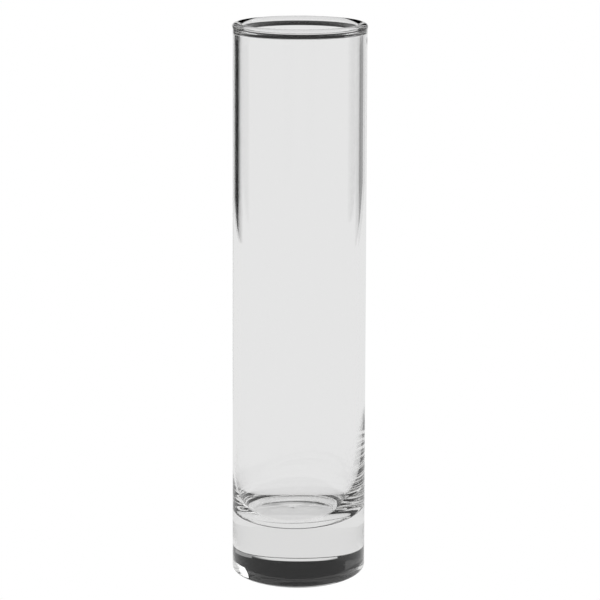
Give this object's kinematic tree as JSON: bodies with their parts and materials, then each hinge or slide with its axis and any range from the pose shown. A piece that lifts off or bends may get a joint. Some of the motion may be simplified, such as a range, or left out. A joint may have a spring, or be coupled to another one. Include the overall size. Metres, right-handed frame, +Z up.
{
  "type": "glass cylinder vase",
  "caption": "Tall narrow clear glass cylinder vase with a thick heavy base and a rounded fire-polished rim, for holding a flower stem in water.",
  "frame": {"origin": "centre of the foot, on the plane that the vase stands on", "axes": "+Z up along the vase's own axis, towards the mouth; +X and +Y across the vase, which is round, so their turn about +Z is free"},
  "size_m": [0.0462, 0.0462, 0.19],
  "materials": {
    "clear_glass": "polished clear soda-lime glass"
  },
  "bodies": {
    "root": {"glass_vase": "clear_glass"}
  },
  "joints": []
}
